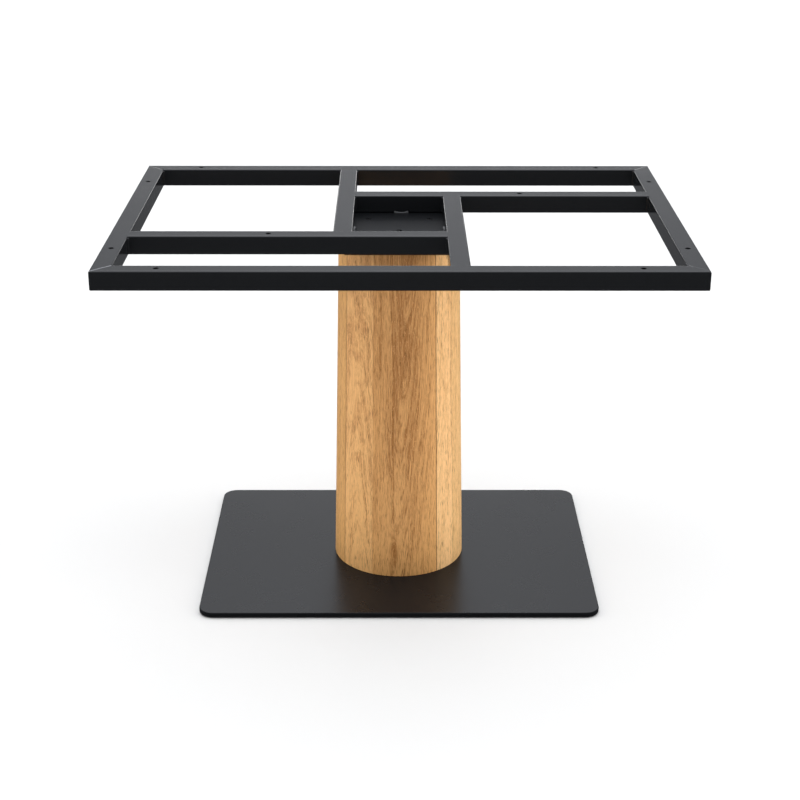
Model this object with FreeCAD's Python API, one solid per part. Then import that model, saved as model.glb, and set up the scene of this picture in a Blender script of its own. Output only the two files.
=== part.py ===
"""Pedestal table base: a welded steel frame on a tapered oak column and a steel floor plate.

Millimetres, +Z up, +X along the frame's long side, -Y towards the viewer's front.
The origin lies on the floor, under the middle of the column.
"""

import FreeCAD, Part
import math
import os

# Overall sizes
TOTAL_HEIGHT = 720.0
FRAME_LENGTH = 1050.0
FRAME_DEPTH = 740.0

# Square steel tube of the frame
TUBE_SIZE = 35.0
TUBE_WALL = 2.0
TUBE_CORNER_RADIUS = 3.0
MITRE_SEAM_WIDTH = 2.5
MITRE_SEAM_DEPTH = 0.3
COPE_TIP = 0.5

# Inner bars, which run round the middle like a pinwheel
CROSS_BAR_OFFSET = 103.5
LONG_BAR_OFFSET = 141.5

# Screw holes for the table top
TOP_HOLE_DIAMETER = 10.0
LONG_RAIL_HOLE_INSET = 112.0
SIDE_RAIL_HOLE_INSET = 135.5
LONG_BAR_HOLE_OFFSET = 238.0

# Welds
CORNER_WELD_LEG = 3.0
PLATE_WELD_LEG = 6.0
PLATE_WELD_BELLY = 3.6
PLATE_WELD_LENGTH = 31.0

# Plate under the bars and the bolts through it
MOUNT_PLATE_THICKNESS = 6.0
MOUNT_PLATE_LAP = 17.0
MOUNT_PLATE_CORNER_RADIUS = 8.0
CENTRE_HOLE_DIAMETER = 11.0
BOLT_SPACING_X = 120.0
BOLT_SPACING_Y = 160.0
BOLT_DIAMETER = 6.0
BOLT_CLEARANCE = 0.3
BOLT_HEAD_DIAMETER = 12.0
BOLT_HEAD_RECESS = 0.9
BOLT_SOCKET_WIDTH = 4.0
BOLT_SOCKET_DEPTH = 2.4

# Oak column, glued from staves and turned to a taper; joints in degrees from the front towards +X
COLUMN_BASE_DIAMETER = 259.0
COLUMN_TOP_DIAMETER = 231.0
COLUMN_EDGE_EASE = 0.8
STAVE_WALL = 31.5
STAVE_JOINT_ANGLES = (-57.0, -24.0, 36.0, 57.0, 100.0, 140.0, 180.0, 222.0, 262.0)

# Steel disc on the column's top
HEAD_PLATE_SETBACK = 4.5
HEAD_PLATE_THICKNESS = 6.0

# Wood screws that hold the column to the head plate and to the floor plate
WOOD_SCREW_DIAMETER = 5.0
WOOD_SCREW_HEAD_DIAMETER = 10.0
WOOD_SCREW_LENGTH = 60.0
WOOD_SCREW_TIP = 6.0
WOOD_SCREW_SOCKET_WIDTH = 4.0
WOOD_SCREW_SOCKET_DEPTH = 2.0
WOOD_SCREW_CLEARANCE = 0.25
WOOD_SCREW_COUNT = 6
WOOD_SCREW_FIRST_ANGLE = 10.0

# Tie rod through the hollow column
TIE_ROD_DIAMETER = 12.0
TIE_ROD_CLEARANCE = 0.5
TIE_ROD_TOP_RECESS = 1.0
TIE_ROD_ENGAGEMENT = 25.0
ROD_NUT_WIDTH = 19.0
ROD_NUT_HEIGHT = 10.0
SLEEVE_DIAMETER = 16.0
SLEEVE_CLEARANCE = 0.25
SLEEVE_LENGTH = 40.0
SLEEVE_HEAD_DIAMETER = 24.0
SLEEVE_SOCKET_WIDTH = 8.0
SLEEVE_SOCKET_DEPTH = 6.0

# Steel floor plate and its glides
BASE_LENGTH = 765.0
BASE_DEPTH = 550.0
BASE_THICKNESS = 10.0
BASE_CORNER_RADIUS = 28.0
BASE_EDGE_RADIUS = 1.5
GLIDE_DIAMETER = 40.0
GLIDE_THICKNESS = 2.0
GLIDE_INSET = 55.0
GLIDE_EDGE_CHAMFER = 0.4

# Levels, from the floor up
BASE_BOTTOM = GLIDE_THICKNESS
BASE_TOP = BASE_BOTTOM + BASE_THICKNESS
FRAME_BOTTOM = TOTAL_HEIGHT - TUBE_SIZE
FRAME_MIDDLE = TOTAL_HEIGHT - TUBE_SIZE / 2
MOUNT_PLATE_BOTTOM = FRAME_BOTTOM - MOUNT_PLATE_THICKNESS
COLUMN_TOP = MOUNT_PLATE_BOTTOM - HEAD_PLATE_THICKNESS

# Places in plan
HALF_TUBE = TUBE_SIZE / 2
RAIL_LINE_X = FRAME_LENGTH / 2 - HALF_TUBE
RAIL_LINE_Y = FRAME_DEPTH / 2 - HALF_TUBE
INNER_EDGE_X = FRAME_LENGTH / 2 - TUBE_SIZE
INNER_EDGE_Y = FRAME_DEPTH / 2 - TUBE_SIZE
WELL_HALF_X = CROSS_BAR_OFFSET - HALF_TUBE
WELL_HALF_Y = LONG_BAR_OFFSET - HALF_TUBE

# Radii of the column
COLUMN_BASE_RADIUS = COLUMN_BASE_DIAMETER / 2
COLUMN_TOP_RADIUS = COLUMN_TOP_DIAMETER / 2
STAVE_INNER_RADIUS = COLUMN_TOP_RADIUS - STAVE_WALL
BASE_SCREW_RADIUS = (COLUMN_BASE_RADIUS + STAVE_INNER_RADIUS) / 2
HEAD_SCREW_RADIUS = (COLUMN_TOP_RADIUS + STAVE_INNER_RADIUS) / 2

ORIGIN = FreeCAD.Vector(0, 0, 0)
UP = FreeCAD.Vector(0, 0, 1)
ALONG_X = FreeCAD.Vector(1, 0, 0)


def vector(x, y, z=0.0):
    return FreeCAD.Vector(x, y, z)


def moved(shape, x=0.0, y=0.0, z=0.0):
    """A copy of the shape, shifted."""
    copy = shape.copy()
    copy.translate(vector(x, y, z))
    return copy


def rotated(shape, degrees, axis=UP):
    """A copy of the shape, turned about an axis through the origin."""
    copy = shape.copy()
    copy.rotate(ORIGIN, axis, degrees)
    return copy


def flipped(shape):
    """A copy of the shape, turned upside down."""
    return rotated(shape, 180, ALONG_X)


def prism(points, height, z=0.0):
    """A solid of the given height on a closed outline of (x, y) corners."""
    outline = [vector(x, y, z) for x, y in points]
    return Part.Face(Part.makePolygon(outline + outline[:1])).extrude(vector(0, 0, height))


def cylinder(diameter, height, x=0.0, y=0.0, z=0.0):
    return Part.makeCylinder(diameter / 2, height, vector(x, y, z))


def revolved(points):
    """A solid of revolution about Z from (radius, z) points that start and end on the axis."""
    outline = [vector(radius, 0, z) for radius, z in points]
    return Part.Face(Part.makePolygon(outline + outline[:1])).revolve(ORIGIN, UP, 360)


def hexagon(width, height, z=0.0):
    """A hexagonal prism of a given width across its flats."""
    corner_radius = width / 2 / math.cos(math.pi / 6)
    angles = [math.radians(60 * step) for step in range(6)]
    return prism([(corner_radius * math.cos(a), corner_radius * math.sin(a)) for a in angles], height, z)


def rounded_plate(length, depth, thickness, corner_radius):
    """A flat plate with round corners, centred in plan, standing on z = 0."""
    plate = Part.makeBox(length, depth, thickness, vector(-length / 2, -depth / 2, 0))
    upright = [edge for edge in plate.Edges if edge.BoundBox.ZLength > thickness / 2]
    return plate.makeFillet(corner_radius, upright)


def at_angle(radius, degrees):
    """The (x, y) of a point at an angle from the front, counted towards +X."""
    angle = math.radians(degrees)
    return radius * math.sin(angle), -radius * math.cos(angle)


# Square tube

def rounded_bar(length, inset=0.0):
    """The tube's filled outside along X, centred, or the form that lies a given inset inside it."""
    size = TUBE_SIZE - 2 * inset
    bar = Part.makeBox(length, size, size, vector(-length / 2, -size / 2, -size / 2))
    corner_radius = TUBE_CORNER_RADIUS - inset
    if corner_radius <= 0:
        return bar
    long_edges = [edge for edge in bar.Edges if edge.BoundBox.XLength > length / 2]
    return bar.makeFillet(corner_radius, long_edges)


def tube(length, wall=TUBE_WALL):
    """A square tube along X, centred."""
    return rounded_bar(length).cut(rounded_bar(length + TUBE_SIZE, wall))


def drilled(bar, hole_places):
    """The bar with upright holes through both walls, at places along X."""
    for place in hole_places:
        bar = bar.cut(cylinder(TOP_HOLE_DIAMETER, 2 * TUBE_SIZE, place, 0, -TUBE_SIZE))
    return bar


def mitre_block(length):
    """The room of a rail between its two mitre planes, with the rail's outside towards -Y."""
    outer = length / 2
    inner = outer - TUBE_SIZE
    plan = [(-outer, -HALF_TUBE), (outer, -HALF_TUBE), (inner, HALF_TUBE), (-inner, HALF_TUBE)]
    return prism(plan, TUBE_SIZE, -HALF_TUBE)


def seam_hollow():
    """One side of the shallow V of a ground mitre weld, along the mitre, sloping down to the origin."""
    reach = 2 * MITRE_SEAM_WIDTH
    fall = MITRE_SEAM_DEPTH / MITRE_SEAM_WIDTH * reach
    high = fall - MITRE_SEAM_DEPTH
    low = -fall - MITRE_SEAM_DEPTH
    section = [(-reach, high), (reach, low), (reach, high)]
    hollow = rotated(prism(section, 2 * TUBE_SIZE, -TUBE_SIZE), 90, ALONG_X)
    return rotated(hollow, 45)


def mitred_rail(length, hole_inset):
    """An outer rail along X, mitred at both ends, with its ground corner welds dished above and below."""
    rail = tube(length).common(mitre_block(length))
    upper = moved(seam_hollow(), length / 2 - HALF_TUBE, 0, HALF_TUBE)
    for hollow in (upper, upper.mirror(ORIGIN, UP)):
        rail = rail.cut(hollow).cut(hollow.mirror(ORIGIN, ALONG_X))
    return drilled(rail, (hole_inset - length / 2, length / 2 - hole_inset))


def outer_rails():
    """The four mitred rails round the outside, by name."""
    rails = {}
    sides = (
        ("front_rail", FRAME_LENGTH, LONG_RAIL_HOLE_INSET, RAIL_LINE_Y, 0),
        ("right_rail", FRAME_DEPTH, SIDE_RAIL_HOLE_INSET, RAIL_LINE_X, 90),
        ("back_rail", FRAME_LENGTH, LONG_RAIL_HOLE_INSET, RAIL_LINE_Y, 180),
        ("left_rail", FRAME_DEPTH, SIDE_RAIL_HOLE_INSET, RAIL_LINE_X, 270),
    )
    for name, length, hole_inset, distance, angle in sides:
        rail = moved(mitred_rail(length, hole_inset), y=-distance, z=FRAME_MIDDLE)
        rails[name] = rotated(rail, angle)
    return rails


# Inner bars

def bar_between(start, end, hole_places=()):
    """A tube along X from start to end, with enough over at both ends to wrap the round edges it meets."""
    lap = max(TUBE_CORNER_RADIUS - COPE_TIP, 0)
    middle = (start + end) / 2
    bar = tube(end - start + 2 * lap)
    return moved(drilled(bar, [place - middle for place in hole_places]), x=middle)


def inner_bars():
    """Four bars, each coped to the tube it butts on: one along, one across, then both turned half round."""
    long_bar = moved(bar_between(-INNER_EDGE_X, WELL_HALF_X, (-LONG_BAR_HOLE_OFFSET,)), y=-LONG_BAR_OFFSET)
    for line in (-RAIL_LINE_X, CROSS_BAR_OFFSET):
        long_bar = long_bar.cut(moved(rotated(rounded_bar(FRAME_DEPTH), 90), x=line))
    cross_bar = moved(rotated(bar_between(-WELL_HALF_Y, INNER_EDGE_Y), 90), x=-CROSS_BAR_OFFSET)
    for line in (RAIL_LINE_Y, -LONG_BAR_OFFSET):
        cross_bar = cross_bar.cut(moved(rounded_bar(FRAME_LENGTH), y=line))
    long_bar = moved(long_bar, z=FRAME_MIDDLE)
    cross_bar = moved(cross_bar, z=FRAME_MIDDLE)
    return {
        "front_left_bar": long_bar,
        "left_cross_bar": cross_bar,
        "back_right_bar": rotated(long_bar, 180),
        "right_cross_bar": rotated(cross_bar, 180),
    }


# Welds

def fillet_section(leg, belly):
    """A weld's section in the first quadrant: two legs from the origin and an arc through the belly."""
    on_x = vector(leg, 0)
    on_y = vector(0, leg)
    arc = Part.Arc(on_x, vector(belly, belly), on_y).toShape()
    return Part.Face(Part.Wire([Part.makeLine(ORIGIN, on_x), arc, Part.makeLine(on_y, ORIGIN)]))


def corner_weld(x, y, quadrant):
    """An upright hollow fillet in the corner between two tubes, in a quadrant counted from +X+Y."""
    belly = CORNER_WELD_LEG * (1 - math.sqrt(0.5))
    height = TUBE_SIZE - 2 * TUBE_CORNER_RADIUS
    weld = fillet_section(CORNER_WELD_LEG, belly).extrude(vector(0, 0, height))
    return moved(rotated(weld, 90 * quadrant), x, y, FRAME_BOTTOM + TUBE_CORNER_RADIUS)


def frame_welds():
    """Upright fillets where bars butt on rails and on each other, and inside the mitred corners."""
    left_face = -CROSS_BAR_OFFSET - HALF_TUBE
    front_face = -LONG_BAR_OFFSET - HALF_TUBE
    half_set = (
        corner_weld(-INNER_EDGE_X, -WELL_HALF_Y, 0),
        corner_weld(-INNER_EDGE_X, front_face, 3),
        corner_weld(WELL_HALF_X, -WELL_HALF_Y, 1),
        corner_weld(WELL_HALF_X, front_face, 2),
        corner_weld(left_face, INNER_EDGE_Y, 2),
        corner_weld(-WELL_HALF_X, INNER_EDGE_Y, 3),
        corner_weld(left_face, -WELL_HALF_Y, 1),
        corner_weld(-WELL_HALF_X, -WELL_HALF_Y, 0),
        corner_weld(-INNER_EDGE_X, -INNER_EDGE_Y, 0),
        corner_weld(INNER_EDGE_X, -INNER_EDGE_Y, 1),
    )
    return [rotated(weld, angle) for angle in (0, 180) for weld in half_set]


def mounting_plate_welds():
    """A short round-faced bead in the middle of each side of the well, on the plate and against the bar."""
    bead = fillet_section(PLATE_WELD_LEG, PLATE_WELD_BELLY).extrude(vector(0, 0, PLATE_WELD_LENGTH))
    bead = rotated(moved(bead, z=-PLATE_WELD_LENGTH / 2), 90, ALONG_X)
    bead = moved(rotated(bead, 180), z=FRAME_BOTTOM)
    sides = ((WELL_HALF_X, 0), (WELL_HALF_Y, 90), (WELL_HALF_X, 180), (WELL_HALF_Y, 270))
    return [rotated(moved(bead, x=distance), angle) for distance, angle in sides]


# Fasteners

def countersunk_screw(head_diameter, diameter, length, socket_width, socket_depth, tip=0.0):
    """A flat-headed screw along -Z from z = 0, with a hexagon socket and a point or a flat end."""
    head_height = (head_diameter - diameter) / 2
    radius = diameter / 2
    profile = [(0, 0), (head_diameter / 2, 0), (radius, -head_height), (radius, tip - length), (0, -length)]
    return revolved(profile).cut(hexagon(socket_width, socket_depth, -socket_depth))


def countersunk_hole(head_diameter, diameter, clearance, depth):
    """The space for such a screw through a plate, from z = 0 down, with clearance round the shank."""
    head_height = (head_diameter - diameter) / 2
    seat = revolved([(0, 0), (head_diameter / 2, 0), (diameter / 2, -head_height), (0, -head_height)])
    return seat.fuse(cylinder(diameter + 2 * clearance, depth, z=-depth))


def sunk_bolt_hole():
    """The space for a bolt through the mounting plate, with a round pocket over its head."""
    depth = MOUNT_PLATE_THICKNESS - BOLT_HEAD_RECESS
    seat = countersunk_hole(BOLT_HEAD_DIAMETER, BOLT_DIAMETER, BOLT_CLEARANCE, depth)
    pocket = cylinder(BOLT_HEAD_DIAMETER + 2 * BOLT_CLEARANCE, BOLT_HEAD_RECESS)
    return moved(seat.fuse(pocket), z=-BOLT_HEAD_RECESS)


def bolt_places():
    half_x = BOLT_SPACING_X / 2
    half_y = BOLT_SPACING_Y / 2
    return [(x, y) for x in (-half_x, half_x) for y in (-half_y, half_y)]


def screw_places(radius):
    """Evenly spaced places for the wood screws, set off so that none falls on a stave joint."""
    step = 360 / WOOD_SCREW_COUNT
    return [at_angle(radius, WOOD_SCREW_FIRST_ANGLE + step * count) for count in range(WOOD_SCREW_COUNT)]


def wood_screw():
    return countersunk_screw(
        WOOD_SCREW_HEAD_DIAMETER,
        WOOD_SCREW_DIAMETER,
        WOOD_SCREW_LENGTH,
        WOOD_SCREW_SOCKET_WIDTH,
        WOOD_SCREW_SOCKET_DEPTH,
        WOOD_SCREW_TIP,
    )


def wood_screw_seat(plate_thickness):
    return countersunk_hole(
        WOOD_SCREW_HEAD_DIAMETER, WOOD_SCREW_DIAMETER, WOOD_SCREW_CLEARANCE, plate_thickness
    )


def head_plate_screws():
    """Wood screws down through the head plate into the staves."""
    return [moved(wood_screw(), x, y, MOUNT_PLATE_BOTTOM) for x, y in screw_places(HEAD_SCREW_RADIUS)]


def base_plate_screws():
    """Wood screws up through the floor plate into the staves."""
    return [moved(flipped(wood_screw()), x, y, BASE_BOTTOM) for x, y in screw_places(BASE_SCREW_RADIUS)]


def mounting_plate_bolts():
    """Flat-headed bolts, a little sunk, that hold the frame's plate to the tapped head plate."""
    head_top = FRAME_BOTTOM - BOLT_HEAD_RECESS
    length = head_top - COLUMN_TOP
    bolt = countersunk_screw(BOLT_HEAD_DIAMETER, BOLT_DIAMETER, length, BOLT_SOCKET_WIDTH, BOLT_SOCKET_DEPTH)
    return [moved(bolt, x, y, head_top) for x, y in bolt_places()]


# Plates

def frame_mounting_plate():
    """The plate welded under the inner bars, countersunk for its bolts, with a hole over the tie rod."""
    length = 2 * (WELL_HALF_X + MOUNT_PLATE_LAP)
    depth = 2 * (WELL_HALF_Y + MOUNT_PLATE_LAP)
    plate = rounded_plate(length, depth, MOUNT_PLATE_THICKNESS, MOUNT_PLATE_CORNER_RADIUS)
    plate = moved(plate, z=MOUNT_PLATE_BOTTOM)
    for x, y in bolt_places():
        plate = plate.cut(moved(sunk_bolt_hole(), x, y, FRAME_BOTTOM))
    return plate.cut(cylinder(CENTRE_HOLE_DIAMETER, MOUNT_PLATE_THICKNESS, z=MOUNT_PLATE_BOTTOM))


def column_head_plate():
    """The disc on the column: tapped for the bolts, countersunk for wood screws, bored for the rod."""
    diameter = COLUMN_TOP_DIAMETER - 2 * HEAD_PLATE_SETBACK
    plate = cylinder(diameter, HEAD_PLATE_THICKNESS, z=COLUMN_TOP)
    for x, y in bolt_places():
        plate = plate.cut(cylinder(BOLT_DIAMETER, HEAD_PLATE_THICKNESS, x, y, COLUMN_TOP))
    for x, y in screw_places(HEAD_SCREW_RADIUS):
        plate = plate.cut(moved(wood_screw_seat(HEAD_PLATE_THICKNESS), x, y, MOUNT_PLATE_BOTTOM))
    rod_hole = TIE_ROD_DIAMETER + 2 * TIE_ROD_CLEARANCE
    return plate.cut(cylinder(rod_hole, HEAD_PLATE_THICKNESS, z=COLUMN_TOP))


def base_plate():
    """The floor plate: round corners, eased edges, countersunk from below for screws and sleeve."""
    plate = rounded_plate(BASE_LENGTH, BASE_DEPTH, BASE_THICKNESS, BASE_CORNER_RADIUS)
    level_edges = [edge for edge in plate.Edges if edge.BoundBox.ZLength < BASE_THICKNESS / 2]
    plate = moved(plate.makeFillet(BASE_EDGE_RADIUS, level_edges), z=BASE_BOTTOM)
    for x, y in screw_places(BASE_SCREW_RADIUS):
        plate = plate.cut(moved(flipped(wood_screw_seat(BASE_THICKNESS)), x, y, BASE_BOTTOM))
    sleeve_seat = countersunk_hole(SLEEVE_HEAD_DIAMETER, SLEEVE_DIAMETER, SLEEVE_CLEARANCE, BASE_THICKNESS)
    return plate.cut(moved(flipped(sleeve_seat), z=BASE_BOTTOM))


def glides():
    """A thin round glide under each corner of the floor plate, by name."""
    radius = GLIDE_DIAMETER / 2
    glide = revolved([
        (0, 0),
        (radius - GLIDE_EDGE_CHAMFER, 0),
        (radius, GLIDE_EDGE_CHAMFER),
        (radius, GLIDE_THICKNESS),
        (0, GLIDE_THICKNESS),
    ])
    reach_x = BASE_LENGTH / 2 - GLIDE_INSET
    reach_y = BASE_DEPTH / 2 - GLIDE_INSET
    return {
        "glide_front_left": moved(glide, -reach_x, -reach_y),
        "glide_front_right": moved(glide, reach_x, -reach_y),
        "glide_back_left": moved(glide, -reach_x, reach_y),
        "glide_back_right": moved(glide, reach_x, reach_y),
    }


# Column

def column_outside():
    """The column's outside, filled, with its two rims eased."""
    return revolved([
        (0, BASE_TOP),
        (COLUMN_BASE_RADIUS - COLUMN_EDGE_EASE, BASE_TOP),
        (COLUMN_BASE_RADIUS, BASE_TOP + COLUMN_EDGE_EASE),
        (COLUMN_TOP_RADIUS, COLUMN_TOP - COLUMN_EDGE_EASE),
        (COLUMN_TOP_RADIUS - COLUMN_EDGE_EASE, COLUMN_TOP),
        (0, COLUMN_TOP),
    ])


def stave_block(start, end):
    """The room of one board between two joint angles: bevelled sides and a flat inner face."""
    beyond = COLUMN_BASE_DIAMETER / math.cos(math.radians((end - start) / 2))
    plan = [
        at_angle(STAVE_INNER_RADIUS, start),
        at_angle(beyond, start),
        at_angle(beyond, end),
        at_angle(STAVE_INNER_RADIUS, end),
    ]
    return prism(plan, COLUMN_TOP - BASE_TOP, BASE_TOP)


def column_staves():
    """The staves, by name, rounded outside and bored where the wood screws bite."""
    outside = column_outside()
    for screw in base_plate_screws() + head_plate_screws():
        outside = outside.cut(screw)
    joints = STAVE_JOINT_ANGLES + (STAVE_JOINT_ANGLES[0] + 360,)
    staves = {}
    for number in range(1, len(joints)):
        staves[f"column_stave_{number}"] = outside.common(stave_block(joints[number - 1], joints[number]))
    return staves


# Tie rod

def tie_rod():
    """The rod from the sleeve up through the nut, ending just below the head plate's top."""
    foot = BASE_BOTTOM + SLEEVE_LENGTH - TIE_ROD_ENGAGEMENT
    return cylinder(TIE_ROD_DIAMETER, MOUNT_PLATE_BOTTOM - TIE_ROD_TOP_RECESS - foot, z=foot)


def tie_rod_nut():
    """The hexagon nut welded under the head plate."""
    foot = COLUMN_TOP - ROD_NUT_HEIGHT
    nut = hexagon(ROD_NUT_WIDTH, ROD_NUT_HEIGHT, foot)
    return nut.cut(cylinder(TIE_ROD_DIAMETER, ROD_NUT_HEIGHT, z=foot))


def tie_rod_sleeve():
    """The sleeve nut that draws the rod down, flush in the floor plate's underside."""
    sleeve = countersunk_screw(
        SLEEVE_HEAD_DIAMETER, SLEEVE_DIAMETER, SLEEVE_LENGTH, SLEEVE_SOCKET_WIDTH, SLEEVE_SOCKET_DEPTH
    )
    bore = cylinder(TIE_ROD_DIAMETER, TIE_ROD_ENGAGEMENT, z=SLEEVE_LENGTH - TIE_ROD_ENGAGEMENT)
    return moved(flipped(sleeve).cut(bore), z=BASE_BOTTOM)


def pieces():
    """Every piece of the table base, by name."""
    found = {"base_plate": base_plate()}
    found.update(glides())
    found.update(column_staves())
    found["column_head_plate"] = column_head_plate()
    found["tie_rod"] = tie_rod()
    found["tie_rod_nut"] = tie_rod_nut()
    found["tie_rod_sleeve"] = tie_rod_sleeve()
    found["head_plate_screws"] = Part.makeCompound(head_plate_screws())
    found["base_plate_screws"] = Part.makeCompound(base_plate_screws())
    found["frame_mounting_plate"] = frame_mounting_plate()
    found["mounting_plate_bolts"] = Part.makeCompound(mounting_plate_bolts())
    found["mounting_plate_welds"] = Part.makeCompound(mounting_plate_welds())
    found.update(outer_rails())
    found.update(inner_bars())
    found["frame_welds"] = Part.makeCompound(frame_welds())
    return found


def main():
    os.makedirs("parts", exist_ok=True)
    for name, shape in pieces().items():
        shape.exportStep(os.path.join("parts", f"{name}.step"))
        volume = sum(solid.Volume for solid in shape.Solids)
        valid = all(solid.isValid() for solid in shape.Solids)
        print(f"{name}: {len(shape.Solids)} solid(s), {volume / 1000:.2f} cm3, valid {valid}")


if __name__ == "__main__":
    main()
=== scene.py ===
"""Looks of the pedestal table base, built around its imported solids.

The oak staves, weld beads and fixings are modelled here and stand for their plain solids. The steel tubes
and plates keep their solids and get their finish. Sizes in the classes are millimetres, as in the part's
own drawing, and become metres where a mesh is made.
"""

import logging
import math
from abc import ABC, abstractmethod
from collections.abc import Callable, Iterator
from contextlib import contextmanager
from dataclasses import dataclass
from enum import Enum
from functools import partial

import bmesh
import bpy
from mathutils import Matrix, Vector


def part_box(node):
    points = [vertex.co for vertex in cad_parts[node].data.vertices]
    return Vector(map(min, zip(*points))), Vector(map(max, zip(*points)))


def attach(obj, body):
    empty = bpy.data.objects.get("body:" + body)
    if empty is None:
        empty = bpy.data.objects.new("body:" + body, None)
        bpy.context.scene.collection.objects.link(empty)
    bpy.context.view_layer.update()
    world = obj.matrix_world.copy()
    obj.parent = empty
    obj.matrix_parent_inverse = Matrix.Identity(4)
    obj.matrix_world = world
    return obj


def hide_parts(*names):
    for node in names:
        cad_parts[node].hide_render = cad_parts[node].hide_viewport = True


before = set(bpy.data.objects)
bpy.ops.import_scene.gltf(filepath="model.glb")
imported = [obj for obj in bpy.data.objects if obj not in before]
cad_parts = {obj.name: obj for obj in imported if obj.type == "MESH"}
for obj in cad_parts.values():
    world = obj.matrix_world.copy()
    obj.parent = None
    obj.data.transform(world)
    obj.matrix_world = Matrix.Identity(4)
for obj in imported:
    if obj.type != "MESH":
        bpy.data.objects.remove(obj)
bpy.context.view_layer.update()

MM = 0.001
BODY = "root"
SMOOTH_ANGLE = math.radians(35.0)
# Millimetres within which two heights count as level
LEVEL = 1.0

log = logging.getLogger("table_base")


# Small helpers


def linear(hex_colour: str) -> tuple[float, float, float, float]:
    """Turns an sRGB colour such as "8a5a2b" to linear RGBA.

    Args:
        hex_colour: six hex digits.

    Returns:
        Red, green, blue and an alpha of one.
    """
    shares = [int(hex_colour[i:i + 2], 16) / 255 for i in (0, 2, 4)]
    red, green, blue = (s / 12.92 if s <= 0.04045 else ((s + 0.055) / 1.055) ** 2.4 for s in shares)
    return red, green, blue, 1.0


def add_node(
    tree: bpy.types.NodeTree,
    kind: str,
    inputs: dict[str | int, object] | None = None,
    output: str | int = 0,
    **settings: object,
) -> bpy.types.NodeSocket | None:
    """Adds one shader node with its settings, its fixed values and its links.

    Args:
        tree: the node tree to add to.
        kind: the node's type name without its "ShaderNode" start.
        inputs: for each input, either the socket that feeds it or its fixed value.
        output: the output to hand back, by default the node's first.
        settings: the node's own properties.

    Returns:
        That output, or nothing from a node without outputs.
    """
    node = tree.nodes.new("ShaderNode" + kind)
    for name, value in settings.items():
        setattr(node, name, value)
    for name, value in (inputs or {}).items():
        if isinstance(value, bpy.types.NodeSocket):
            tree.links.new(value, node.inputs[name])
        else:
            node.inputs[name].default_value = value
    return node.outputs[output] if node.outputs else None


class Pick(Enum):
    """What a selection in edit mode picks."""

    POINTS = "VERT"
    EDGES = "EDGE"


def select(pick: Pick, test: Callable[[Vector, Vector], bool]) -> None:
    """Selects the parts of the mesh in edit mode that pass a test.

    Args:
        pick: points or edges.
        test: gets the middle of each part and its reach along each axis, in millimetres.
    """
    bpy.ops.mesh.select_mode(type=pick.value)
    bpy.ops.mesh.select_all(action="DESELECT")
    mesh = bmesh.from_edit_mesh(bpy.context.object.data)
    for item in (mesh.verts if pick is Pick.POINTS else mesh.edges):
        points = [item.co] if pick is Pick.POINTS else [v.co for v in item.verts]
        low = Vector(map(min, zip(*points)))
        high = Vector(map(max, zip(*points)))
        if test((low + high) / 2 / MM, (high - low) / MM):
            item.select_set(True)
    mesh.select_flush_mode()
    bmesh.update_edit_mesh(bpy.context.object.data)


def pick_alone(piece: bpy.types.Object) -> None:
    """Selects one piece, makes it the active one and deselects all others."""
    bpy.ops.object.select_all(action="DESELECT")
    piece.select_set(True)
    bpy.context.view_layer.objects.active = piece


@contextmanager
def editing(piece: bpy.types.Object) -> Iterator[None]:
    """Puts one piece alone in edit mode, all selected, and leaves edit mode at the end."""
    pick_alone(piece)
    bpy.ops.object.mode_set(mode="EDIT")
    bpy.ops.mesh.select_all(action="SELECT")
    yield
    bpy.ops.object.mode_set(mode="OBJECT")


def new_piece(name: str, primitive: Callable[..., object], **sizes: object) -> bpy.types.Object:
    """Starts a piece from a primitive and moves its place into its mesh.

    Args:
        name: the piece's name.
        primitive: the operator that adds the primitive.
        sizes: the primitive's size and place, in metres.

    Returns:
        The piece, alone selected, at the origin, unturned and unscaled.
    """
    bpy.ops.object.select_all(action="DESELECT")
    primitive(**sizes)
    bpy.ops.object.transform_apply(location=True, rotation=True, scale=True)
    piece = bpy.context.object
    piece.name = name
    piece.data.name = name
    return piece


def copy_of(piece: bpy.types.Object, name: str, place: Matrix) -> bpy.types.Object:
    """Copies a finished piece.

    Args:
        piece: the piece to copy.
        name: the copy's name.
        place: the copy's place in metres, which goes into its mesh.

    Returns:
        The copy, with a mesh of its own.
    """
    twin = piece.copy()
    twin.data = piece.data.copy()
    twin.name = name
    twin.data.name = name
    twin.data.transform(place)
    bpy.context.collection.objects.link(twin)
    return twin


def cut(plane_point: Vector, normal: Vector, fill: bool = True) -> None:
    """Cuts the whole mesh in edit mode with a plane.

    Args:
        plane_point: a point of the plane, in millimetres.
        normal: what lies on this side of the plane goes, if the cut is filled.
        fill: close the cut and drop that side, or only draw the cut line.
    """
    bpy.ops.mesh.select_all(action="SELECT")
    bpy.ops.mesh.bisect(plane_co=plane_point * MM, plane_no=normal, use_fill=fill, clear_outer=fill)


def face_out() -> None:
    """Points all faces of the mesh in edit mode outwards."""
    bpy.ops.mesh.select_all(action="SELECT")
    bpy.ops.mesh.normals_make_consistent(inside=False)


def shade(piece: bpy.types.Object) -> None:
    """Shades a piece smooth but for its arrises."""
    pick_alone(piece)
    bpy.ops.object.shade_smooth_by_angle(angle=SMOOTH_ANGLE)


def hand_over(piece: bpy.types.Object, material: bpy.types.Material, node: str) -> None:
    """Gives a modelled piece its finish and puts it in the place of a solid.

    Args:
        piece: the finished piece.
        material: its finish.
        node: the solid that it stands for.
    """
    piece.data.materials.clear()
    piece.data.materials.append(material)
    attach(piece, BODY)
    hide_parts(node)
    log.info("%s stands for %s, %d faces", piece.name, node, len(piece.data.polygons))


# Finishes


Adder = Callable[..., bpy.types.NodeSocket]


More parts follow.
